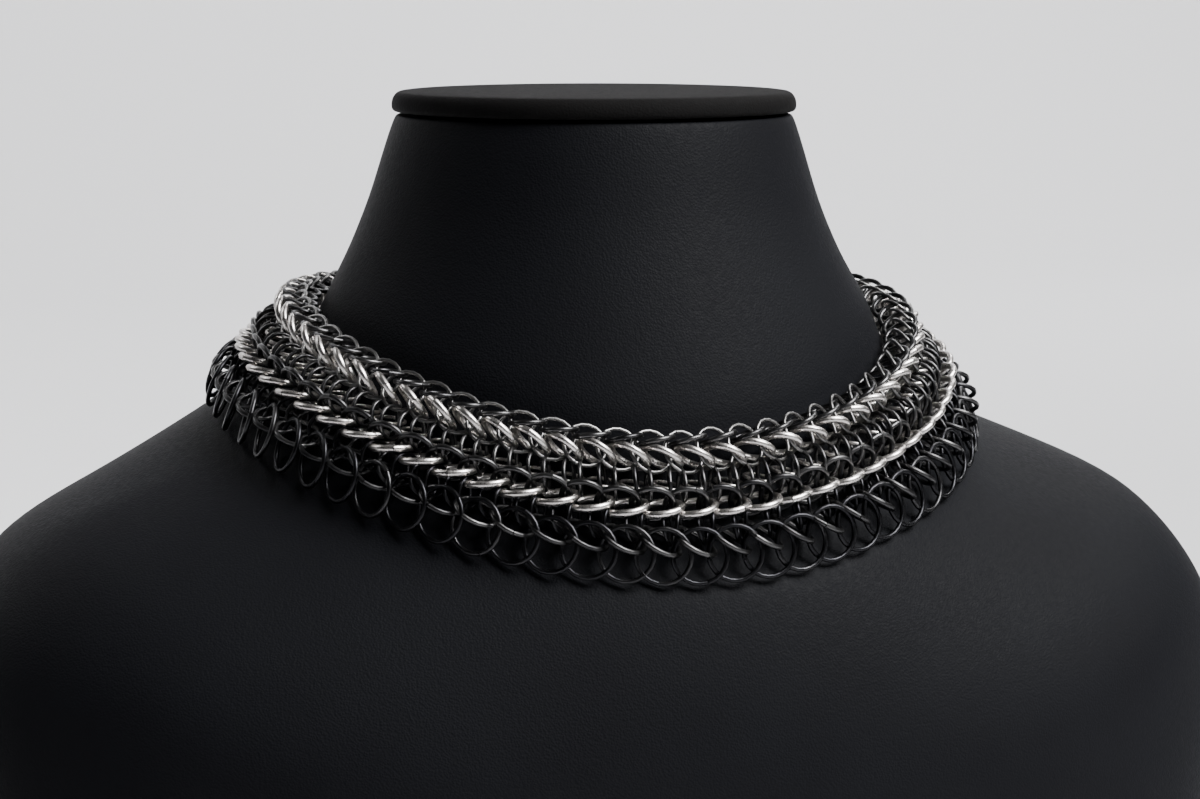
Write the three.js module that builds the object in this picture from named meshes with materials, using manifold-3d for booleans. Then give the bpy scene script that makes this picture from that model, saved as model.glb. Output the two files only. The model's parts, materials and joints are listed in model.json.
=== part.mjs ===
// A chainmail collar lying on a limbless dress form.
//
// Millimetres, +Z up. The form stands on its flat base at z = 0, its front faces -Y, and the
// origin is the centre of the base. Going round the neck, every outline is a function of one
// angle: 0 at the front, a quarter turn at the left shoulder (+X), half a turn at the back.
//
// The mail is built as four bands of one long strip. A place on the strip is given by its angle,
// by how far across the strip it is (0 along the bright cord, growing towards the hem), and by how
// far it stands out from the strip's middle surface. The form's neck and shoulders are made from
// the same strip, moved in, so that the collar lies on them all the way round.

import * as THREE from 'three';
import { mergeVertices } from 'three/addons/utils/BufferGeometryUtils.js';
import Module from 'manifold-3d';

// ---- Driving dimensions -------------------------------------------------------------------

const FORM_HEIGHT = 290;        // flat base to the top of the neck
const GAP = 0.4;                // clear space left between two pieces that touch

const NECK_RADIUS = 56.8;
const NECK_EDGE_ROUND = 1.5;
const CAP_RADIUS = 57.4;
const CAP_THICKNESS = 6;
const CAP_TOP_ROUND = 3.4;
const CAP_BOTTOM_ROUND = 1.4;

// The line of the collar's bright cord: an ellipse from above, lower in front than behind, and
// laid a little askew: sway is how much higher the left shoulder is, twist is highest at +45.
const CORD = {
  halfWidth: 92.5,
  halfDepth: 85.8,
  centreY: -6.2,
  depthBelowNeck: 64,
  tilt: 15.4,
  saddle: -7.1,
  sway: -0.6,
  twist: 0.8,
};

// How steeply the strip falls away outwards, in degrees below level.
const FALL = { mean: 52.6, tilt: 11.7, saddle: 2.7 };

// Each band: where it starts and ends across the strip, and its inner and outer face.
const BANDS = [
  { name: 'collar_upper_band', from: -7.6, to: 4.2, inner: -9.6, outer: 1.4, color: 0x9a9ca0 },
  { name: 'collar_link_row', from: 4.6, to: 7.8, inner: -9.4, outer: 0.4, color: 0x6c6e72 },
  { name: 'collar_middle_band', from: 8.2, to: 16.4, inner: -10.2, outer: 1.4, color: 0x9a9ca0 },
  { name: 'collar_hem_band', from: 16.8, to: 33.2, inner: -6.0, outer: 0.8, color: 0x55575b },
];
const BAND_STEPS = 72;
const BAND_CORNER = 0.28;       // share of a band's width that its bevelled corners take

const CLASP = {
  from: -6,                     // across the strip, where the tubes start
  length: 36,
  out: -3,                      // the tubes' axis, out from the strip's middle surface
  outerRadius: 3.2,
  boreRadius: 2.4,
  rodRadius: 1.9,
  slot: 2.2,
  webThickness: 1.2,
  webReach: 7.4,                // from the tubes' axis to the far edge of each eyelet plate
  eyeletRadius: 1.1,
  eyelets: 4,
  roundSteps: 20,
};
const CLASP_CLEARANCE = 1.2;    // between the end of the mail and the eyelet plates

const COLUMNS = 64;             // facets round the form
const RINGS_PER_SECTION = 2;

const COLORS = { leatherette: 0x17181b, cap: 0x1c1b1b, steel: 0xb4b6ba };

// ---- Helpers ------------------------------------------------------------------------------

const degrees = (value) => (value * Math.PI) / 180;

/** Front-to-back and side-to-side swing of a value round the neck. */
const around = (angle, mean, tilt, saddle) =>
  mean + tilt * Math.cos(angle) + saddle * Math.cos(2 * angle);

/** A closed body from a grid of loops, with a flat or fanned end on the first and last loop. */
function loftLoops(loops) {
  const size = loops[0].length;
  const positions = loops.flat().flatMap((point) => point.toArray());
  const index = [];
  for (let row = 0; row < loops.length - 1; row += 1) {
    for (let column = 0; column < size; column += 1) {
      const next = (column + 1) % size;
      const [a, b] = [row * size + column, row * size + next];
      index.push(a, b, b + size, a, b + size, a + size);
    }
  }
  for (const [row, reversed] of [[0, true], [loops.length - 1, false]]) {
    const centre = new THREE.Vector3();
    loops[row].forEach((point) => centre.addScaledVector(point, 1 / size));
    const middle = positions.length / 3;
    positions.push(...centre.toArray());
    for (let column = 0; column < size; column += 1) {
      const [a, b] = [row * size + column, row * size + ((column + 1) % size)];
      index.push(middle, reversed ? b : a, reversed ? a : b);
    }
  }
  const geometry = new THREE.BufferGeometry();
  geometry.setAttribute('position', new THREE.Float32BufferAttribute(positions, 3));
  geometry.setIndex(index);
  return faceOutwards(geometry);
}

/** Turns every triangle over when the body is inside out. */
function faceOutwards(geometry) {
  const position = geometry.getAttribute('position');
  const index = geometry.getIndex();
  const corner = (i) => new THREE.Vector3().fromBufferAttribute(position, index.getX(i));
  let volume = 0;
  for (let i = 0; i < index.count; i += 3) {
    volume += corner(i).dot(corner(i + 1).cross(corner(i + 2)));
  }
  if (volume < 0) {
    for (let i = 0; i < index.count; i += 3) {
      const second = index.getX(i + 1);
      index.setX(i + 1, index.getX(i + 2));
      index.setX(i + 2, second);
    }
  }
  geometry.computeVertexNormals();
  return geometry;
}

function mesh(name, geometry, color, roughness, metalness) {
  const material = new THREE.MeshStandardMaterial({ color, roughness, metalness });
  const result = new THREE.Mesh(geometry, material);
  result.name = name;
  return result;
}

// ---- The strip that the collar follows ------------------------------------------------------

/** A point on the strip: angle round the neck, distance across it, and distance out from it. */
function stripPoint(angle, across, out) {
  const [sine, cosine] = [Math.sin(angle), Math.cos(angle)];
  const outward = new THREE.Vector3(sine / CORD.halfWidth, -cosine / CORD.halfDepth, 0).normalize();
  const fall = degrees(around(angle, FALL.mean, FALL.tilt, FALL.saddle));
  const askew = CORD.sway * sine + CORD.twist * Math.sin(2 * angle);
  const height = around(angle, FORM_HEIGHT - CORD.depthBelowNeck, -CORD.tilt, CORD.saddle) + askew;
  const downhill = outward.clone().multiplyScalar(Math.cos(fall)).setZ(-Math.sin(fall));
  const normal = outward.clone().multiplyScalar(Math.sin(fall)).setZ(Math.cos(fall));
  return new THREE.Vector3(CORD.halfWidth * sine, CORD.centreY - CORD.halfDepth * cosine, height)
    .addScaledVector(downhill, across)
    .addScaledVector(normal, out);
}

/** The eight-cornered section of a band, in strip distances. */
function bandSection({ from, to, inner, outer }) {
  const bevel = (to - from) * BAND_CORNER;
  const [low, high] = [inner + bevel / 2, outer - bevel / 2];
  return [
    [from, low], [from, high], [from + bevel, outer], [to - bevel, outer],
    [to, high], [to, low], [to - bevel, inner], [from + bevel, inner],
  ];
}

/** One band of mail, from one side of the clasp round the front to the other. */
function band(spec) {
  const halfGap = (CLASP.webReach + CLASP_CLEARANCE) / CORD.halfDepth;
  const start = -Math.PI + halfGap;
  const sweep = 2 * (Math.PI - halfGap);
  const section = bandSection(spec);
  const loops = [];
  for (let step = 0; step <= BAND_STEPS; step += 1) {
    const angle = start + (sweep * step) / BAND_STEPS;
    loops.push(section.map(([across, out]) => stripPoint(angle, across, out)));
  }
  return mesh(spec.name, loftLoops(loops), spec.color, 0.35, 1);
}

// ---- The form -------------------------------------------------------------------------------

/**
 * An oval outline of the form: its half width, then where its front, side and back points lie.
 * Each point is [Y, depth below the neck's top]. A higher squareness fills out the corners.
 */
function oval(halfWidth, [frontY, frontDrop], [sideY, sideDrop], [backY, backDrop], squareness = 2) {
  const bulge = (value) => Math.sign(value) * Math.abs(value) ** (2 / squareness);
  const middleDrop = (frontDrop + backDrop) / 2;
  return (angle) => {
    const reach = bulge(Math.cos(angle));
    const drop = around(
      angle,
      (sideDrop + middleDrop) / 2,
      (frontDrop - backDrop) / 2,
      (middleDrop - sideDrop) / 2,
    );
    return new THREE.Vector3(
      halfWidth * bulge(Math.sin(angle)),
      sideY + (reach > 0 ? (frontY - sideY) * reach : (sideY - backY) * reach),
      FORM_HEIGHT - drop,
    );
  };
}

/** A level outline of the form. */
const level = (halfWidth, frontY, sideY, backY, drop, squareness) =>
  oval(halfWidth, [frontY, drop], [sideY, drop], [backY, drop], squareness);

/** The outline under the collar, a little inside the strip. */
const seat = (across, depth) => (angle) => stripPoint(angle, across, -depth);

// From the base up: base and its turned edge, chest, shoulders, the collar's seat, and the neck.
const FORM_OUTLINES = [
  level(163, -104, -4, 104, FORM_HEIGHT, 2.3),
  level(167, -107, -4, 107, FORM_HEIGHT - 4, 2.3),
  oval(181, [-113, 254], [-8, 244], [113, 246], 2.2),
  oval(189, [-115, 228], [-12, 180], [115, 202], 2.1),
  oval(186.3, [-113.5, 200], [-11, 143], [114.5, 164], 2.1),
  oval(174, [-111.5, 175], [-8, 122], [114, 132], 2.3),
  oval(154.4, [-109, 150], [-19, 107.5], [113, 106], 1.95),
  seat(38, 5.8),
  seat(28, 7.6),
  seat(17, 11.6),
  seat(6, 11.8),
  seat(-5, 10.8),
  seat(-16, 7.5),
  oval(70.5, [-69, 44], [-1, 39], [61.5, 34]),
  oval(63.3, [-62.5, 24], [0.5, 22], [59.5, 20]),
  level(NECK_RADIUS, -NECK_RADIUS, 0, NECK_RADIUS, NECK_EDGE_ROUND),
  level(NECK_RADIUS - NECK_EDGE_ROUND, NECK_EDGE_ROUND - NECK_RADIUS, 0, NECK_RADIUS - NECK_EDGE_ROUND, 0),
];

/** The stuffed and covered body: base, chest, shoulders and neck in one smooth skin. */
function formBody() {
  const rings = (FORM_OUTLINES.length - 1) * RINGS_PER_SECTION;
  const columns = Array.from({ length: COLUMNS }, (_, column) => {
    const angle = (2 * Math.PI * column) / COLUMNS;
    return new THREE.CatmullRomCurve3(FORM_OUTLINES.map((outline) => outline(angle)));
  });
  const loops = Array.from({ length: rings + 1 }, (_, ring) =>
    columns.map((curve) => curve.getPoint(ring / rings)));
  return mesh('form_body', loftLoops(loops), COLORS.leatherette, 0.55, 0);
}

/** The round cap that closes the neck, with softened rims. */
function formCap() {
  const rim = (cornerX, cornerY, radius, from) => [0, 1, 2, 3].map((step) => {
    const turn = degrees(from + 30 * step);
    return new THREE.Vector2(cornerX + radius * Math.cos(turn), cornerY + radius * Math.sin(turn));
  });
  const profile = [
    new THREE.Vector2(0, 0),
    ...rim(CAP_RADIUS - CAP_BOTTOM_ROUND, CAP_BOTTOM_ROUND, CAP_BOTTOM_ROUND, -90),
    ...rim(CAP_RADIUS - CAP_TOP_ROUND, CAP_THICKNESS - CAP_TOP_ROUND, CAP_TOP_ROUND, 0),
    new THREE.Vector2(0, CAP_THICKNESS),
  ];
  const geometry = new THREE.LatheGeometry(profile, COLUMNS).rotateX(Math.PI / 2);
  const cap = mesh('form_cap', geometry, COLORS.cap, 0.5, 0);
  cap.position.z = FORM_HEIGHT + GAP;
  return cap;
}

// ---- The clasp behind the neck ----------------------------------------------------------------

const wasm = await Module();
wasm.setup();

function toManifold(geometry) {
  const bare = geometry.clone().deleteAttribute('normal').deleteAttribute('uv');
  const merged = mergeVertices(bare);
  return new wasm.Manifold(new wasm.Mesh({
    numProp: 3,
    vertProperties: new Float32Array(merged.getAttribute('position').array),
    triVerts: new Uint32Array(merged.getIndex().array),
  }));
}

function fromManifold(solid) {
  const { vertProperties, triVerts } = solid.getMesh();
  const geometry = new THREE.BufferGeometry();
  geometry.setAttribute('position', new THREE.Float32BufferAttribute(vertProperties, 3));
  geometry.setIndex(Array.from(triVerts));
  geometry.computeVertexNormals();
  return geometry;
}

/** A plate with a row of eyelets, standing out along X from the tubes' axis, which is Y. */
function eyeletPlate(from, to) {
  const shape = new THREE.Shape([
    new THREE.Vector2(from, 0), new THREE.Vector2(to, 0),
    new THREE.Vector2(to, CLASP.length), new THREE.Vector2(from, CLASP.length),
  ]);
  const eyeletX = Math.sign(to) * (CLASP.webReach - 2 * CLASP.eyeletRadius);
  for (let eyelet = 0; eyelet < CLASP.eyelets; eyelet += 1) {
    const hole = new THREE.Path();
    const y = (CLASP.length * (eyelet + 0.5)) / CLASP.eyelets;
    hole.absarc(eyeletX, y, CLASP.eyeletRadius, 0, 2 * Math.PI);
    shape.holes.push(hole);
  }
  return new THREE.ExtrudeGeometry(shape, {
    depth: CLASP.webThickness, bevelEnabled: false, curveSegments: 5,
  }).translate(0, 0, -CLASP.webThickness / 2);
}

const rod = (radius, length = CLASP.length) =>
  new THREE.CylinderGeometry(radius, radius, length, CLASP.roundSteps)
    .translate(0, CLASP.length / 2, 0);

/** The outer tube, slotted along one side, with an eyelet plate on the other. */
function outerTube() {
  const reach = 2 * CLASP.outerRadius;
  const slot = new THREE.BoxGeometry(reach, CLASP.length + 2, CLASP.slot)
    .translate(reach / 2, CLASP.length / 2, 0);
  return toManifold(rod(CLASP.outerRadius))
    .add(toManifold(eyeletPlate(-CLASP.outerRadius + 0.4, -CLASP.webReach)))
    .subtract(toManifold(rod(CLASP.boreRadius, CLASP.length + 2)))
    .subtract(toManifold(slot));
}

/** The inner rod, whose eyelet plate comes out through the outer tube's slot. */
const innerRod = () => toManifold(rod(CLASP.rodRadius)).add(toManifold(eyeletPlate(0, CLASP.webReach)));

/** The fastened clasp, laid down the strip at the middle of the back. */
function clasp() {
  const top = stripPoint(Math.PI, CLASP.from, CLASP.out);
  const downhill = stripPoint(Math.PI, CLASP.from + 1, CLASP.out).sub(top);
  const normal = stripPoint(Math.PI, CLASP.from, CLASP.out + 1).sub(top);
  const across = new THREE.Vector3().crossVectors(downhill, normal);
  const group = new THREE.Group();
  group.quaternion.setFromRotationMatrix(new THREE.Matrix4().makeBasis(across, downhill, normal));
  group.position.copy(top);
  group.add(
    mesh('clasp_outer_tube', fromManifold(outerTube()), COLORS.steel, 0.3, 1),
    mesh('clasp_inner_rod', fromManifold(innerRod()), COLORS.steel, 0.3, 1),
  );
  return group;
}

// ---- The whole part -----------------------------------------------------------------------------

const part = new THREE.Group();
part.add(formBody(), formCap(), ...BANDS.map(band), clasp());

export default part;
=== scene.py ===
"""A chainmail collar lying on a limbless dress form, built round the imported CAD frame.

The mail is made of butted steel rings. Every row of rings has one ring modelled for it, which is
then copied along the collar's strip: a ribbon round the neck whose places are given by the angle
round the neck, the distance across the ribbon and the distance out from its middle surface.
"""

import json
import logging
import math
import random
from dataclasses import dataclass, field
from enum import Enum
from typing import Callable, Optional, Sequence

import bpy
from mathutils import Matrix, Vector

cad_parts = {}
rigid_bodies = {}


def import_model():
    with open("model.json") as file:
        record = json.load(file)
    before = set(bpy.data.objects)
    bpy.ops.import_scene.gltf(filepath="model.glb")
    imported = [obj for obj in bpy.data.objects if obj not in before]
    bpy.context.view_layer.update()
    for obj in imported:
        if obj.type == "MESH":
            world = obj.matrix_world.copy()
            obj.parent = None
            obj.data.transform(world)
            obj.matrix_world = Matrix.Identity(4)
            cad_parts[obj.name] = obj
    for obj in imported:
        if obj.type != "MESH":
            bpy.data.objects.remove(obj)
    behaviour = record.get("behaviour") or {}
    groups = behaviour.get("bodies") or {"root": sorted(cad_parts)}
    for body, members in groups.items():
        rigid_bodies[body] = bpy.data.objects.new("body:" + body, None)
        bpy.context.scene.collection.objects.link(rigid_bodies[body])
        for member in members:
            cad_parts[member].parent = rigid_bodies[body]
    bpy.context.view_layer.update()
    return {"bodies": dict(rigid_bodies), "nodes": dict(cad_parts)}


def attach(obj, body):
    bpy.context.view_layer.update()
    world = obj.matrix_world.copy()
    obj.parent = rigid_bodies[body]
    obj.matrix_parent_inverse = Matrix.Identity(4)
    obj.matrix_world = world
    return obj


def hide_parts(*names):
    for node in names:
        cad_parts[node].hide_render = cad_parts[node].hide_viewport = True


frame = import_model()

LOG = logging.getLogger("collar")
Triple = tuple[float, float, float]

MM = 0.001
WHOLE_TURN = 2 * math.pi
NECK_TOP_MM = 290.0  # the height of the form's body, without its cap
LINE_DEPTH_MM = 64.0  # how far below that the line of the collar's strip lies, on average
WELD_MM = 0.01  # corners closer than this are one corner

# The CAD bands that the rows of rings stand for.
UPPER, LINKS = "collar_upper_band", "collar_link_row"
MIDDLE, HEM = "collar_middle_band", "collar_hem_band"


# ---- Small helpers ------------------------------------------------------------------------------


def linear(hex_colour: str) -> tuple[float, float, float, float]:
    """Turns an sRGB hex colour to linear light.

    Args:
        hex_colour: Six hex digits, such as "17181b".

    Returns:
        Red, green, blue and alpha from 0 to 1.
    """
    values = [int(hex_colour[i : i + 2], 16) / 255 for i in (0, 2, 4)]
    lights = [v / 12.92 if v <= 0.04045 else ((v + 0.055) / 1.055) ** 2.4 for v in values]
    return (lights[0], lights[1], lights[2], 1.0)


def add_node(
    tree: bpy.types.NodeTree,
    kind: str,
    settings: Optional[dict[str, object]] = None,
    inputs: Optional[dict[object, object]] = None,
) -> bpy.types.Node:
    """Adds a node, sets it up and links it.

    Args:
        tree: The node tree that gets the node.
        kind: The node's type, such as "ShaderNodeTexNoise".
        settings: Values of the node's own properties.
        inputs: A constant or an output socket for each named or numbered input.

    Returns:
        The new node.
    """
    node = tree.nodes.new(kind)
    for name, value in (settings or {}).items():
        setattr(node, name, value)
    for key, value in (inputs or {}).items():
        if isinstance(value, bpy.types.NodeSocket):
            tree.links.new(value, node.inputs[key])
        else:
            node.inputs[key].default_value = value
    return node


def new_material(name: str) -> tuple[bpy.types.Material, bpy.types.NodeTree, bpy.types.Node]:
    """Makes an empty node material.

    Args:
        name: What the material is.

    Returns:
        The material, its tree and its output node.
    """
    material = bpy.data.materials.new(name)
    material.use_nodes = True
    tree = material.node_tree
    tree.nodes.clear()
    return material, tree, add_node(tree, "ShaderNodeOutputMaterial")


def select_only(*pieces: bpy.types.Object) -> None:
    """Selects these objects and no others, and makes the first one active.

    Args:
        pieces: The objects to select.
    """
    for other in bpy.context.view_layer.objects:
        other.select_set(False)
    for piece in pieces:
        piece.select_set(True)
    bpy.context.view_layer.objects.active = pieces[0]


def edit_whole(piece: bpy.types.Object) -> None:
    """Opens a piece in edit mode with everything selected.

    Args:
        piece: The piece.
    """
    select_only(piece)
    bpy.ops.object.mode_set(mode="EDIT")
    bpy.ops.mesh.select_mode(type="VERT")
    bpy.ops.mesh.select_all(action="SELECT")


def close_edit() -> None:
    """Goes back to object mode."""
    bpy.ops.object.mode_set(mode="OBJECT")


def edit_corners(piece: bpy.types.Object, wanted: Callable[[Vector], bool]) -> None:
    """Opens a piece in edit mode with some of its corners selected, and the edges between them.

    Args:
        piece: The piece.
        wanted: Says whether to select the corner at a place.
    """
    edit_whole(piece)
    bpy.ops.mesh.select_all(action="DESELECT")
    close_edit()
    for vertex in piece.data.vertices:
        vertex.select = wanted(vertex.co)
    for edge in piece.data.edges:
        edge.select = all(piece.data.vertices[corner].select for corner in edge.vertices)
    bpy.ops.object.mode_set(mode="EDIT")


def dress(piece: bpy.types.Object, material: bpy.types.Material) -> None:
    """Gives a piece one material and nothing else.

    Args:
        piece: The piece.
        material: Its material.
    """
    piece.data.materials.clear()
    piece.data.materials.append(material)
    for polygon in piece.data.polygons:
        polygon.material_index = 0


def joined(name: str, pieces: Sequence[bpy.types.Object]) -> bpy.types.Object:
    """Joins objects into the first of them.

    Args:
        name: The name of the result.
        pieces: The objects to join.

    Returns:
        The joined object.
    """
    select_only(*pieces)
    bpy.ops.object.join()
    result = bpy.context.view_layer.objects.active
    result.name = name
    result.data.name = name
    return result


def report(piece: bpy.types.Object) -> None:
    """Logs a finished piece and its size in triangles.

    Args:
        piece: The finished piece.
    """
    triangles = sum(len(polygon.vertices) - 2 for polygon in piece.data.polygons)
    LOG.info("%s: %d triangles", piece.name, triangles)


# ---- Finishes -----------------------------------------------------------------------------------


@dataclass(frozen=True)
class Leatherette:
    """Polyurethane leatherette: a coated knit, embossed with pebbles and stretched over foam.

    The eye gets a deep black that leans to blue. The coat is matt, so light rolls off it softly,
    and the pebbles break that light into fine points. Real pebbles are 0.3 to 0.4 mm across,
    too fine to show, so they are drawn coarser, at grain_mm.
    """

    GLOSS_SWING = (-0.05, 0.07)

    name: str
    colour: str
    worn_colour: str
    roughness: float
    sheen: float = 0.07
    grain_mm: float = 0.6
    crease_mm: float = 1.5
    crease_weight: float = 0.45
    grain_height_mm: float = 0.115
    grain_strength: float = 0.75
    patch_mm: float = 45.0
    ior: float = 1.46

    def material(self) -> bpy.types.Material:
        """Builds the material: embossed pebbles, faint creases, and uneven sheen.

        Returns:
            The material.
        """
        material, tree, output = new_material(self.name)
        place = add_node(tree, "ShaderNodeTexCoord").outputs["Object"]
        pebble = add_node(
            tree,
            "ShaderNodeTexVoronoi",
            {"feature": "SMOOTH_F1"},
            {"Vector": place, "Scale": 1 / (self.grain_mm * MM), "Smoothness": 0.6},
        )
        # Short creases between the pebbles, which stretching the cover opens.
        crease = add_node(
            tree,
            "ShaderNodeTexNoise",
            None,
            {"Vector": place, "Scale": 1 / (self.crease_mm * MM), "Detail": 4.0, "Roughness": 0.62},
        )
        height = add_node(
            tree,
            "ShaderNodeMath",
            {"operation": "MULTIPLY_ADD"},
            {0: crease.outputs["Fac"], 1: self.crease_weight, 2: pebble.outputs["Distance"]},
        )
        bump = add_node(
            tree,
            "ShaderNodeBump",
            {"invert": True},
            {
                "Height": height.outputs[0],
                "Distance": self.grain_height_mm * MM,
                "Strength": self.grain_strength,
            },
        )
        # Broad patches where the coat has been rubbed, a shade lighter.
        patch = add_node(
            tree,
            "ShaderNodeTexNoise",
            None,
            {"Vector": place, "Scale": 1 / (self.patch_mm * MM), "Detail": 2.0, "Roughness": 0.5},
        )
        tone = add_node(
            tree,
            "ShaderNodeMix",
            {"data_type": "RGBA"},
            {
                0: patch.outputs["Fac"],
                6: linear(self.colour),
                7: linear(self.worn_colour),
            },
        )
        gloss = add_node(
            tree,
            "ShaderNodeMapRange",
            None,
            {
                "Value": crease.outputs["Fac"],
                "From Min": 0.3,
                "From Max": 0.7,
                "To Min": self.roughness + self.GLOSS_SWING[0],
                "To Max": self.roughness + self.GLOSS_SWING[1],
            },
        )
        shader = add_node(
            tree,
            "ShaderNodeBsdfPrincipled",
            None,
            {
                "Base Color": tone.outputs[2],
                "Roughness": gloss.outputs[0],
                "Normal": bump.outputs[0],
                "IOR": self.ior,
                "Specular IOR Level": self.sheen,
            },
        )
        tree.links.new(shader.outputs[0], output.inputs["Surface"])
        return material


@dataclass(frozen=True)
class DrawnSteel:
    """Steel wire, drawn through a die, then coiled and cut into rings.

    The eye gets a satin metal: one soft bright line along each wire, not a mirror's, and rings
    that differ a little in tone under a thin, patchy film. Real die marks are a few hundredths
    of a millimetre apart, too fine to show, so they are drawn coarser, at mark_mm.
    """

    TONE_RANGE = (0.1, 1.4)
    GLOSS_SWING = (-0.06, 0.08)

    name: str
    colour: str
    film_colour: str
    roughness: float
    film_mm: float = 6.0
    film_weight: float = 0.5
    mark_mm: float = 0.5
    mark_height_mm: float = 0.002
    mark_strength: float = 0.4

    def material(self) -> bpy.types.Material:
        """Builds the material: a tone for each ring, marks from the die, and a patchy film.

        Returns:
            The material.
        """
        material, tree, output = new_material(self.name)
        place = add_node(tree, "ShaderNodeTexCoord").outputs["Object"]
        ring = add_node(tree, "ShaderNodeAttribute", {"attribute_name": MailRow.TONE})
        film = add_node(
            tree,
            "ShaderNodeTexNoise",
            None,
            {"Vector": place, "Scale": 1 / (self.film_mm * MM), "Detail": 3.0, "Roughness": 0.6},
        )
        share = add_node(
            tree,
            "ShaderNodeMath",
            {"operation": "MULTIPLY_ADD"},
            {0: film.outputs["Fac"], 1: self.film_weight, 2: ring.outputs["Fac"]},
        )
        share = add_node(
            tree,
            "ShaderNodeMapRange",
            None,
            {
                "Value": share.outputs[0],
                "From Min": self.TONE_RANGE[0],
                "From Max": self.TONE_RANGE[1],
            },
        )
        tone = add_node(
            tree,
            "ShaderNodeMix",
            {"data_type": "RGBA"},
            {0: share.outputs[0], 6: linear(self.colour), 7: linear(self.film_colour)},
        )
        marks = add_node(
            tree,
            "ShaderNodeTexNoise",
            None,
            {"Vector": place, "Scale": 1 / (self.mark_mm * MM), "Detail": 2.0},
        )
        gloss = add_node(
            tree,
            "ShaderNodeMapRange",
            None,
            {
                "Value": marks.outputs["Fac"],
                "From Min": 0.25,
                "From Max": 0.75,
                "To Min": self.roughness + self.GLOSS_SWING[0],
                "To Max": self.roughness + self.GLOSS_SWING[1],
            },
        )
        bump = add_node(
            tree,
            "ShaderNodeBump",
            None,
            {
                "Height": marks.outputs["Fac"],
                "Distance": self.mark_height_mm * MM,
                "Strength": self.mark_strength,
            },
        )
        shader = add_node(
            tree,
            "ShaderNodeBsdfPrincipled",
            None,
            {
                "Base Color": tone.outputs[2],
                "Metallic": 1.0,
                "Roughness": gloss.outputs[0],
                "Normal": bump.outputs[0],
            },
        )
        tree.links.new(shader.outputs[0], output.inputs["Surface"])
        return material


@dataclass(frozen=True)
class StudioPaper:
    """Seamless paper, uncoated and rolled smooth.

    The eye gets an even pale grey with no gloss and no seam, which the form stands out against.
    """

    name: str
    colour: str

    def material(self) -> bpy.types.Material:
        """Builds the material.

        Returns:
            The material.
        """
        material, tree, output = new_material(self.name)
        shader = add_node(
            tree,
            "ShaderNodeBsdfPrincipled",
            None,
            {"Base Color": linear(self.colour), "Roughness": 0.95, "Specular IOR Level": 0.1},
        )
        tree.links.new(shader.outputs[0], output.inputs["Surface"])
        return material


class Steel(Enum):
    """The two kinds of ring in the mail."""

    BRIGHT = "bright"
    DARK = "dark"


# ---- The strip that the collar follows ----------------------------------------------------------


@dataclass(frozen=True)
class Swing:
    """A value that changes round the neck.

    tilt and saddle are its once-round and twice-round swings, alike on both sides. sway and
    twist are what differs from side to side, because the collar lies a little askew.
    """

    mean: float
    tilt: float
    saddle: float
    sway: float = 0.0
    twist: float = 0.0

    def at(self, angle: float) -> float:
        """The value at an angle round the neck.

        Args:
            angle: The angle, 0 at the front.

        Returns:
            The value.
        """
        even = self.tilt * math.cos(angle) + self.saddle * math.cos(2 * angle)
        odd = self.sway * math.sin(angle) + self.twist * math.sin(2 * angle)
        return self.mean + even + odd


@dataclass
class Strip:
    """The ribbon that the mail follows, in millimetres, as the CAD source has it.

    The upper bright cord runs close to its line, which is an oval of half_width by half_depth,
    seen from above, at a height that swings. fall is how steeply the ribbon runs downhill, in
    degrees.
    """

    TINY = 1e-9

    half_width: float = 92.5
    half_depth: float = 85.8
    centre_y: float = -6.2
    height: Swing = Swing(NECK_TOP_MM - LINE_DEPTH_MM, -15.4, -7.1, -0.6, 0.8)
    fall: Swing = Swing(52.6, 11.7, 2.7)
    steps: int = 2880
    lengths: list[float] = field(default_factory=list)

    def __post_init__(self) -> None:
        """Measures the ribbon's line, step by step, from the front to the back."""
        last, total = self.place(0.0, 0.0, 0.0), 0.0
        for step in range(1, self.steps + 1):
            self.lengths.append(total)
            here = self.place(math.pi * step / self.steps, 0.0, 0.0)
            total += (here - last).length
            last = here
        self.lengths.append(total)

    @property
    def half_length(self) -> float:
        """The length of the ribbon's line from the front to the back.

        Returns:
            The length.
        """
        return self.lengths[-1]

    def axes(self, angle: float) -> tuple[Vector, Vector, Vector]:
        """The ribbon's own directions at an angle.

        Args:
            angle: The angle round the neck.

        Returns:
            The directions along the ribbon, across it downhill, and out of it.
        """
        outward = Vector(
            (math.sin(angle) / self.half_width, -math.cos(angle) / self.half_depth, 0.0)
        ).normalized()
        fall = math.radians(self.fall.at(angle))
        up = Vector((0.0, 0.0, 1.0))
        across = outward * math.cos(fall) - up * math.sin(fall)
        out = outward * math.sin(fall) + up * math.cos(fall)
        return across.cross(out), across, out

    def place(self, angle: float, across: float, out: float) -> Vector:
        """A point on the ribbon, in millimetres.

        Args:
            angle: The angle round the neck.
            across: The distance across the ribbon, growing towards the hem.
            out: The distance out from its middle surface.

        Returns:
            The point in the object's frame.
        """
        _, downhill, outward = self.axes(angle)
        centre = Vector(
            (
                self.half_width * math.sin(angle),
                self.centre_y - self.half_depth * math.cos(angle),
                self.height.at(angle),
            )
        )
        return centre + downhill * across + outward * out

    def angle_at(self, length: float) -> float:
        """The angle at a length along the ribbon's line.

        Args:
            length: The length from the front, less than 0 towards -X.

        Returns:
            The angle round the neck.
        """
        goal = min(abs(length), self.half_length)
        low, high = 0, self.steps
        while high - low > 1:
            middle = (low + high) // 2
            low, high = (middle, high) if self.lengths[middle] <= goal else (low, middle)
        step_length = max(self.lengths[high] - self.lengths[low], self.TINY)
        part = (goal - self.lengths[low]) / step_length
        return math.copysign(math.pi * (low + part) / self.steps, length)


# ---- The mail -----------------------------------------------------------------------------------


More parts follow.
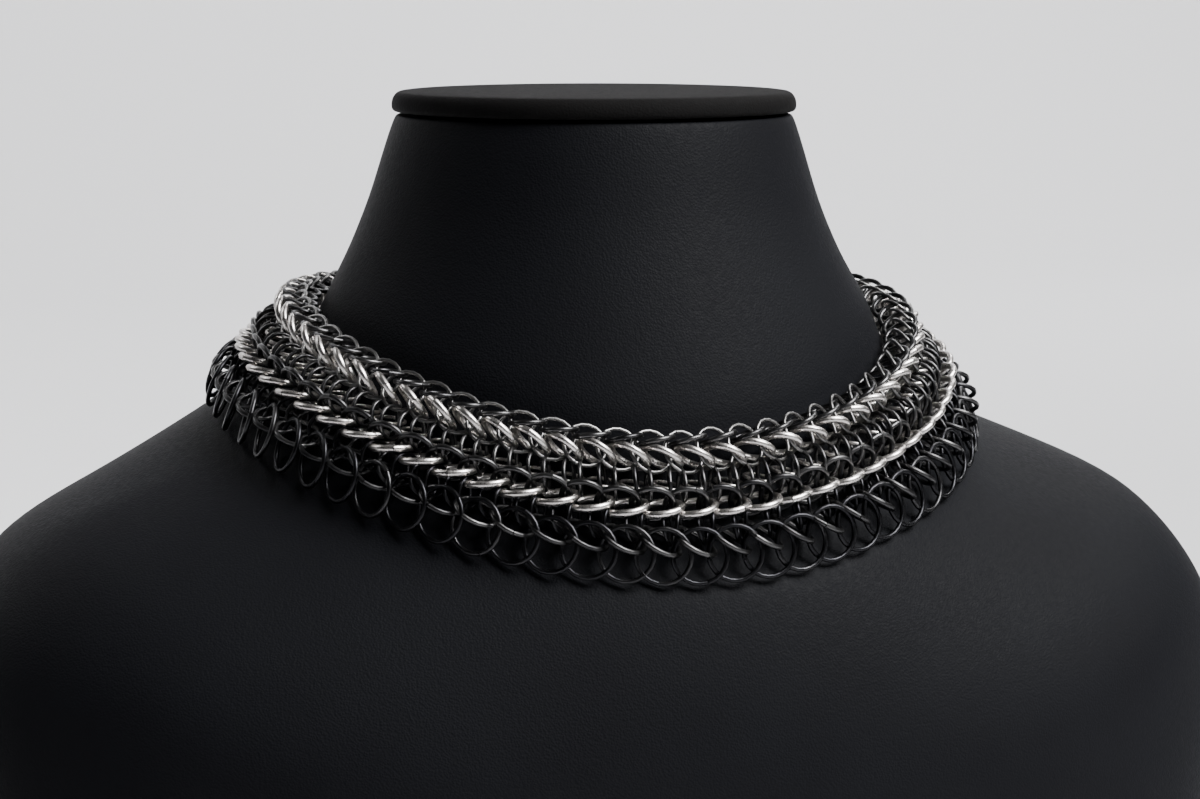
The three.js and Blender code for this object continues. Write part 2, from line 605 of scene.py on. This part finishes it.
@dataclass
class MailRow:
    """One row of rings along the ribbon, in millimetres.

    radius runs to the middle of the wire, and wire is the wire's own radius. shift is where the
    row's rings lie along the ribbon, in ring spacings. across and out are the rings' centre. lean
    is the rings' axis in front, in the ribbon's own directions, and lean_left and lean_right are
    what it becomes at the left shoulder (+X) and at the right one. tone is how much film the
    rings carry, from 0 for the least to 1 for the most. sides and steps are the facets round the
    wire and along it, and butt_gap is the gap where the wire's ends meet.
    """

    TONE = "ring_tone"
    TONE_SPREAD = 0.3
    LEAN_SPREAD = 0.018
    ACROSS_SPREAD = 0.08
    OUT_SPREAD = 0.05
    END_SHARE = 0.55  # of a ring's radius, which its middle keeps from the row's end
    ROUND_WIRE = math.radians(75)  # edges that turn less than this are shaded smooth

    name: str
    steel: Steel
    band: str
    radius: float
    wire: float
    shift: float
    across: float
    out: float
    lean: Triple
    lean_left: Optional[Triple] = None
    lean_right: Optional[Triple] = None
    tone: float = 0.75
    sides: int = 6
    steps: int = 18
    butt_gap: float = 0.22

    def model_ring(self) -> bpy.types.Object:
        """Models one butted ring round the Z axis: a disc of wire, spun almost all the way.

        Returns:
            The ring.
        """
        bpy.ops.mesh.primitive_circle_add(
            vertices=self.sides,
            radius=self.wire * MM,
            fill_type="NGON",
            location=(self.radius * MM, 0.0, 0.0),
            rotation=(math.pi / 2, 0.0, 0.0),
        )
        ring = bpy.context.view_layer.objects.active
        bpy.ops.object.transform_apply(location=True, rotation=True, scale=True)
        edit_whole(ring)
        bpy.ops.mesh.spin(
            steps=self.steps,
            angle=WHOLE_TURN - self.butt_gap / self.radius,
            center=(0.0, 0.0, 0.0),
            axis=(0.0, 0.0, 1.0),
        )
        bpy.ops.mesh.select_all(action="DESELECT")
        bpy.ops.mesh.select_non_manifold(extend=False)
        if any(vertex.select for vertex in self.selected(ring)):
            bpy.ops.mesh.edge_face_add()
        bpy.ops.mesh.select_all(action="SELECT")
        bpy.ops.mesh.normals_make_consistent(inside=False)
        close_edit()
        bpy.ops.object.shade_smooth_by_angle(angle=self.ROUND_WIRE)
        return ring

    @staticmethod
    def selected(ring: bpy.types.Object) -> list[bpy.types.MeshVertex]:
        """The ring's selected corners, read from edit mode.

        Args:
            ring: The ring, open in edit mode.

        Returns:
            The corners.
        """
        ring.update_from_editmode()
        return [vertex for vertex in ring.data.vertices if vertex.select]

    @classmethod
    def tint(cls, ring: bpy.types.Object, tone: float) -> None:
        """Stores a ring's tone on its corners, where its material finds it.

        Args:
            ring: The ring.
            tone: How much film it carries.
        """
        layer = ring.data.attributes.new(cls.TONE, "FLOAT", "POINT")
        layer.data.foreach_set("value", [tone] * len(ring.data.vertices))

    def build(
        self, strip: Strip, spacing: float, clear: float, chance: random.Random
    ) -> bpy.types.Object:
        """Copies the ring along the ribbon, from one side of the clasp round to the other.

        Args:
            strip: The ribbon.
            spacing: The distance from one ring to the next.
            clear: How far short of the middle of the back the rings stop.
            chance: The seeded source of each ring's small differences.

        Returns:
            The whole row as one object.
        """
        master = self.model_ring()
        reach = strip.half_length - clear - self.END_SHARE * self.radius
        count = math.ceil(strip.half_length / spacing)
        copies = []
        for number in range(-count, count + 1):
            length = (number + self.shift) * spacing
            if abs(length) > reach:
                continue
            copy = master.copy()
            copy.data = master.data.copy()
            bpy.context.collection.objects.link(copy)
            copy.data.transform(self.pose(strip, strip.angle_at(length), chance))
            self.tint(copy, self.tone + self.TONE_SPREAD * chance.random())
            copies.append(copy)
        bpy.data.objects.remove(master)
        return joined(self.name, copies)

    def pose(
        self, strip: Strip, angle: float, chance: random.Random, slide: float = 0.0
    ) -> Matrix:
        """Where one ring goes, turned so that its joint falls anywhere round it.

        Args:
            strip: The ribbon.
            angle: The ring's angle round the neck.
            chance: The seeded source of small differences.
            slide: How far the ring lies off that angle, straight along the ribbon.

        Returns:
            The ring's place, in metres.
        """
        along, downhill, outward = strip.axes(angle)
        side = (self.lean_left if math.sin(angle) > 0 else self.lean_right) or self.lean
        share = abs(math.sin(angle))
        lean = [
            front + (beside - front) * share + chance.gauss(0.0, self.LEAN_SPREAD)
            for front, beside in zip(self.lean, side)
        ]
        axis = (along * lean[0] + downhill * lean[1] + outward * lean[2]).normalized()
        spoke = axis.orthogonal().normalized()
        turn = Matrix((spoke, axis.cross(spoke), axis)).transposed().to_4x4()
        joint = Matrix.Rotation(chance.uniform(0.0, WHOLE_TURN), 4, "Z")
        across = self.across + chance.gauss(0.0, self.ACROSS_SPREAD)
        out = self.out + chance.gauss(0.0, self.OUT_SPREAD)
        centre = strip.place(angle, across, out)
        return Matrix.Translation((centre + along * slide) * MM) @ turn @ joint


# The rows in the order in which they are made, from the top edge to the hem's hangers.
WOVEN_ROWS = (
    MailRow(
        "edge_rings", Steel.DARK, UPPER, radius=5.85, wire=0.53,
        shift=-1.52, across=-3.05, out=-3.2, lean=(-0.27, -0.1, 0.95), tone=0.0,
    ),
    MailRow(
        "edge_cord", Steel.DARK, UPPER, radius=4.7, wire=0.7,
        shift=-1.33, across=-6.2, out=-3.8, lean=(-0.22, 0.96, -0.17),
        lean_left=(-0.58, 0.9, -0.17), lean_right=(0.12, 0.9, -0.45), sides=8,
    ),
    MailRow(
        "upper_cord", Steel.BRIGHT, UPPER, radius=5.25, wire=1.0,
        shift=-1.19, across=-1.7, out=-4.4, lean=(0.46, 0.86, 0.03),
        lean_left=(0.1, 0.97, 0.15), lean_right=(0.62, 0.8, 0.3), sides=8,
    ),
    MailRow(
        "left_links", Steel.DARK, LINKS, radius=4.4, wire=0.56,
        shift=-1.66, across=6.2, out=-4.1, lean=(1.0, 0.0, -0.04),
    ),
    MailRow(
        "right_links", Steel.DARK, LINKS, radius=4.6, wire=0.58,
        shift=-1.0, across=5.6, out=-4.8, lean=(0.96, 0.03, -0.25),
    ),
    MailRow(
        "under_links", Steel.BRIGHT, LINKS, radius=4.1, wire=0.5,
        shift=-1.0, across=5.4, out=-7.2, lean=(0.15, 0.86, -0.49),
    ),
    MailRow(
        "arched_rings", Steel.DARK, MIDDLE, radius=5.6, wire=0.8,
        shift=-1.59, across=11.0, out=-4.1, lean=(0.15, 0.85, 0.5),
        lean_left=(0.2, 0.58, 0.78), lean_right=(-0.05, 0.88, 0.45),
    ),
    MailRow(
        "lower_cord", Steel.BRIGHT, MIDDLE, radius=5.6, wire=1.0,
        shift=-1.36, across=12.2, out=-4.2, lean=(-0.17, 0.88, -0.5),
        lean_left=(-0.3, 0.93, -0.05), lean_right=(0.02, 0.9, -0.5), sides=8,
    ),
    MailRow(
        "joining_rings", Steel.DARK, HEM, radius=6.2, wire=0.74,
        shift=-1.49, across=21.2, out=-3.9, lean=(0.45, 0.68, -0.6),
    ),
    MailRow(
        "hem_rings", Steel.DARK, HEM, radius=7.25, wire=0.7,
        shift=-2.43, across=25.5, out=-2.3, lean=(0.16, 0.3, 0.94),
        lean_right=(0.3, 0.3, 0.9), tone=1.0, steps=22,
    ),
    # Both rows of hangers sit deep between the lower cord and the hem, where shade falls. Their
    # tone of 1.0, the darkest film, is partly the dark steel's own near-black and partly painted
    # shade for the shade down there.
    MailRow(
        "left_hangers", Steel.DARK, HEM, radius=4.4, wire=0.54,
        shift=-1.18, across=17.4, out=-4.6, lean=(0.85, 0.0, -0.5), tone=1.0,
    ),
    MailRow(
        "right_hangers", Steel.DARK, HEM, radius=4.2, wire=0.54,
        shift=-0.85, across=16.5, out=-5.2, lean=(0.94, -0.16, -0.31), tone=1.0,
    ),
)


@dataclass
class Collar:
    """The mail collar: twelve rows of rings, woven side by side.

    spacings is how many rings would go all the way round. clear is how far short of the middle
    of the back the rows stop, for the clasp, and the flat sizes are those of the mail laid out
    straight, in millimetres.
    """

    SEED = 62

    spacings: int = 62
    clear: float = 10.0
    strip: Strip = field(default_factory=Strip)
    rows: list[MailRow] = field(default_factory=lambda: list(WOVEN_ROWS))
    flat_width: float = 40.8
    flat_length: float = 600.0

    def build(self, finishes: dict[Steel, DrawnSteel]) -> dict[Steel, bpy.types.Object]:
        """Builds the rows and joins them by their steel.

        Args:
            finishes: The finish of each kind of ring.

        Returns:
            The bright mail and the dark mail.
        """
        chance = random.Random(self.SEED)
        spacing = 2 * self.strip.half_length / self.spacings
        made: dict[Steel, list[bpy.types.Object]] = {Steel.BRIGHT: [], Steel.DARK: []}
        for row in self.rows:
            made[row.steel].append(row.build(self.strip, spacing, self.clear, chance))
        mail = {}
        for steel, rows in made.items():
            piece = joined(f"collar_{steel.value}_mail", rows)
            dress(piece, finishes[steel].material())
            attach(piece, "root")
            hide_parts(*sorted({row.band for row in self.rows if row.steel is steel}))
            report(piece)
            mail[steel] = piece
        return mail


@dataclass
class Clasp:
    """The slotted tube and rod behind the neck, and the rings that tie the mail to them.

    start, length and out place the tube on the ribbon, and eyelet_reach runs from its axis to
    the eyelets, as the CAD source has them, in millimetres.
    """

    SEED = 7
    HOLE_OFFSET = 0.1  # how far short of the hole's middle the link's wire passes
    LINK_LEAN = 0.12

    strip: Strip
    start: float = -6.0
    length: float = 36.0
    out: float = -3.0
    eyelets: int = 4
    eyelet_reach: float = 5.2
    link_radius: float = 3.6
    link_wire: float = 0.5

    def build(self, finish: DrawnSteel) -> bpy.types.Object:
        """Dresses the tube and the rod, and adds their rings.

        Args:
            finish: The steel of the tube, the rod and the rings.

        Returns:
            The rings as one piece.
        """
        material = finish.material()
        for name in ("clasp_outer_tube", "clasp_inner_rod"):
            dress(frame["nodes"][name], material)
        chance = random.Random(self.SEED)
        rings = []
        for side in (-1, 1):
            for eyelet in range(self.eyelets):
                across = self.start + self.length * (eyelet + 0.5) / self.eyelets
                row = MailRow(
                    f"link_{side}_{eyelet}", Steel.BRIGHT, "",
                    radius=self.link_radius, wire=self.link_wire,
                    shift=0.0, across=across, out=self.out, lean=(0.0, 1.0, self.LINK_LEAN * side),
                )
                ring = row.model_ring()
                reach = self.eyelet_reach + self.link_radius - self.HOLE_OFFSET
                ring.data.transform(row.pose(self.strip, math.pi, chance, side * reach))
                row.tint(ring, chance.random())
                rings.append(ring)
        piece = joined("clasp_links", rings)
        dress(piece, material)
        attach(piece, "root")
        report(piece)
        return piece


# ---- The form -----------------------------------------------------------------------------------


@dataclass
class DressForm:
    """The limbless form: a stuffed body and neck under one stretched cover, and a covered cap."""

    QUAD_LIMIT = math.radians(80)  # how far two triangles of one four-sided face may differ
    ROUND_COVER = math.radians(50)  # edges that turn less than this are shaded smooth

    cover: Leatherette
    cap_cover: Leatherette
    levels: int = 2

    def smooth_copy(self, node: str, name: str) -> bpy.types.Object:
        """Copies a CAD node and joins its triangles into four-sided faces.

        Args:
            node: The CAD node's name.
            name: The name of the piece.

        Returns:
            The piece.
        """
        source = frame["nodes"][node]
        piece = source.copy()
        piece.data = source.data.copy()
        piece.name = piece.data.name = name
        for key in list(piece.keys()):
            del piece[key]
        piece.parent = None
        piece.matrix_world = Matrix.Identity(4)
        bpy.context.collection.objects.link(piece)
        edit_whole(piece)
        bpy.ops.mesh.customdata_custom_splitnormals_clear()
        bpy.ops.mesh.remove_doubles(threshold=WELD_MM * MM)
        bpy.ops.mesh.tris_convert_to_quads(
            face_threshold=self.QUAD_LIMIT, shape_threshold=self.QUAD_LIMIT
        )
        close_edit()
        return piece

    def round_off(self, piece: bpy.types.Object, keep_flat: Callable[[Vector], bool]) -> None:
        """Subdivides a piece, with the edges of its flat ends kept sharp.

        Args:
            piece: The piece.
            keep_flat: Says whether a corner lies on a flat end.
        """
        edit_corners(piece, keep_flat)
        bpy.ops.transform.edge_crease(value=1.0)
        close_edit()
        rounding = piece.modifiers.new("rounding", "SUBSURF")
        rounding.levels = rounding.render_levels = self.levels
        bpy.ops.object.modifier_apply(modifier=rounding.name)
        bpy.ops.object.shade_smooth_by_angle(angle=self.ROUND_COVER)

    def build(self) -> None:
        """Builds the body and the cap."""
        body = self.smooth_copy("form_body", "form_cover")
        self.round_off(body, lambda corner: corner.z < WELD_MM * MM)
        dress(body, self.cover.material())
        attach(body, "root")
        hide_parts("form_body")
        cap = self.smooth_copy("form_cap", "cap_cover")
        self.round_off(cap, lambda corner: False)
        dress(cap, self.cap_cover.material())
        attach(cap, "root")
        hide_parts("form_cap")
        for piece in (body, cap):
            report(piece)


# ---- The studio ---------------------------------------------------------------------------------


@dataclass(frozen=True)
class Softbox:
    """A large square light, in metres. spread is how wide its beam opens, in degrees."""

    name: str
    place: Triple
    aim: Triple
    size: float
    watts: float
    spread: float = 180.0


@dataclass
class Studio:
    """A paper sweep, soft lights and the camera, in metres and degrees.

    The window lights the collar from the right front. The two paper lights only brighten the
    sweep behind it.
    """

    SENSOR_MM = 36.0
    NEAREST, FARTHEST = 0.01, 60.0

    paper: StudioPaper
    room_colour: str = "151517"
    room_light: float = 1.0
    half_floor: float = 6.0
    wall_y: float = 3.4
    wall_height: float = 5.0
    bend_radius: float = 1.0
    bend_steps: int = 16
    boxes: tuple[Softbox, ...] = (
        Softbox(
            "window", place=(1.15, -1.05, 1.9), aim=(0.0, 0.0, 0.24),
            size=1.5, watts=32.0, spread=60.0,
        ),
        Softbox(
            "paper_left", place=(-1.6, 1.4, 2.2), aim=(-0.8, 3.4, 0.6), size=1.6, watts=80.0
        ),
        Softbox(
            "paper_right", place=(1.6, 1.4, 2.2), aim=(0.8, 3.4, 0.6), size=1.6, watts=150.0
        ),
    )
    camera_distance: float = 1.0
    camera_height: float = 0.336
    camera_azimuth: float = -18.5
    camera_pitch: float = -7.30
    camera_turn: float = 0.0977
    lens_mm: float = 105.6

    def build_sweep(self) -> None:
        """Builds the floor and the wall behind it as one bent sheet of paper."""
        bpy.ops.object.select_all(action="DESELECT")
        middle = (0.0, self.wall_y - self.half_floor, 0.0)
        bpy.ops.mesh.primitive_plane_add(size=2 * self.half_floor, location=middle)
        sweep = bpy.context.view_layer.objects.active
        bpy.ops.object.transform_apply(location=True, rotation=True, scale=True)
        sweep.name = "paper_sweep"
        edit_corners(sweep, lambda corner: corner.y > 0.5 * self.wall_y)
        bpy.ops.mesh.select_mode(type="EDGE")
        bpy.ops.mesh.extrude_region_move(
            TRANSFORM_OT_translate={"value": (0.0, 0.0, self.wall_height)}
        )
        close_edit()
        bend = sweep.modifiers.new("bend", "BEVEL")
        bend.width, bend.segments, bend.limit_method = self.bend_radius, self.bend_steps, "ANGLE"
        select_only(sweep)
        bpy.ops.object.modifier_apply(modifier=bend.name)
        bpy.ops.object.shade_smooth()
        dress(sweep, self.paper.material())

    def build_lights(self) -> None:
        """Hangs the softboxes and lights the room."""
        for box in self.boxes:
            light = bpy.data.lights.new(box.name, "AREA")
            light.shape, light.size, light.energy = "SQUARE", box.size, box.watts
            light.spread = math.radians(box.spread)
            lamp = bpy.data.objects.new(box.name, light)
            lamp.location = box.place
            beam = Vector(box.aim) - Vector(box.place)
            lamp.rotation_euler = beam.to_track_quat("-Z", "Y").to_euler()
            bpy.context.collection.objects.link(lamp)
        world = bpy.data.worlds.new("studio_room")
        bpy.context.scene.world = world
        world.use_nodes = True
        room = world.node_tree.nodes["Background"]
        room.inputs["Color"].default_value = linear(self.room_colour)
        room.inputs["Strength"].default_value = self.room_light

    def build_camera(self) -> None:
        """Places the camera to the left of the front, a little above the neck's cap."""
        azimuth = math.radians(self.camera_azimuth)
        lens = bpy.data.cameras.new("camera")
        lens.sensor_width, lens.lens = self.SENSOR_MM, self.lens_mm
        lens.clip_start, lens.clip_end = self.NEAREST, self.FARTHEST
        camera = bpy.data.objects.new("camera", lens)
        camera.location = (
            self.camera_distance * math.sin(azimuth),
            -self.camera_distance * math.cos(azimuth),
            self.camera_height,
        )
        # Turned a touch to its right, which leaves the neck a little left of the middle.
        turn = azimuth - math.radians(self.camera_turn)
        camera.rotation_euler = (math.pi / 2 + math.radians(self.camera_pitch), 0.0, turn)
        bpy.context.collection.objects.link(camera)
        bpy.context.scene.camera = camera

    def build(self) -> None:
        """Builds the sweep, the lights and the camera."""
        self.build_sweep()
        self.build_lights()
        self.build_camera()


def clear_leftovers() -> None:
    """Removes every object that the frame didn't bring."""
    kept = set(frame["nodes"].values()) | set(frame["bodies"].values())
    for leftover in [o for o in bpy.data.objects if o not in kept]:
        bpy.data.objects.remove(leftover)
    bpy.context.view_layer.update()


def main() -> None:
    """Builds the form, the collar and its clasp, and the studio, in that order."""
    logging.basicConfig(level=logging.INFO, format="%(message)s")
    clear_leftovers()
    DressForm(
        # Pulled tight over the foam: a satin black that still shows its grain.
        cover=Leatherette("stretched_black_leatherette", "08080b", "0e0f12", 0.62),
        # Wrapped round a board without stretching: a flatter, warmer black.
        cap_cover=Leatherette("wrapped_black_leatherette", "0b0b0b", "121111", 0.75, sheen=0.04),
    ).build()
    collar = Collar()
    mail = collar.build(
        {
            # Tumbled bright after coiling: nearly white where it faces the window.
            Steel.BRIGHT: DrawnSteel("polished_stainless_wire", "f4f2f0", "c8c3bf", 0.3),
            # Blackened and oiled: near-black in its film, mid-grey where that has worn off.
            Steel.DARK: DrawnSteel("oiled_dark_steel_wire", "858483", "28282a", 0.34),
        }
    )
    # Satin tube and rod: an even light grey, a shade duller than the bright rings.
    links = Clasp(collar.strip).build(
        DrawnSteel("satin_stainless_tube", "c4c5c6", "a4a4a3", 0.3)
    )
    Studio(StudioPaper("seamless_grey_paper", "d2d2d4")).build()


if __name__ == "__main__":
    main()
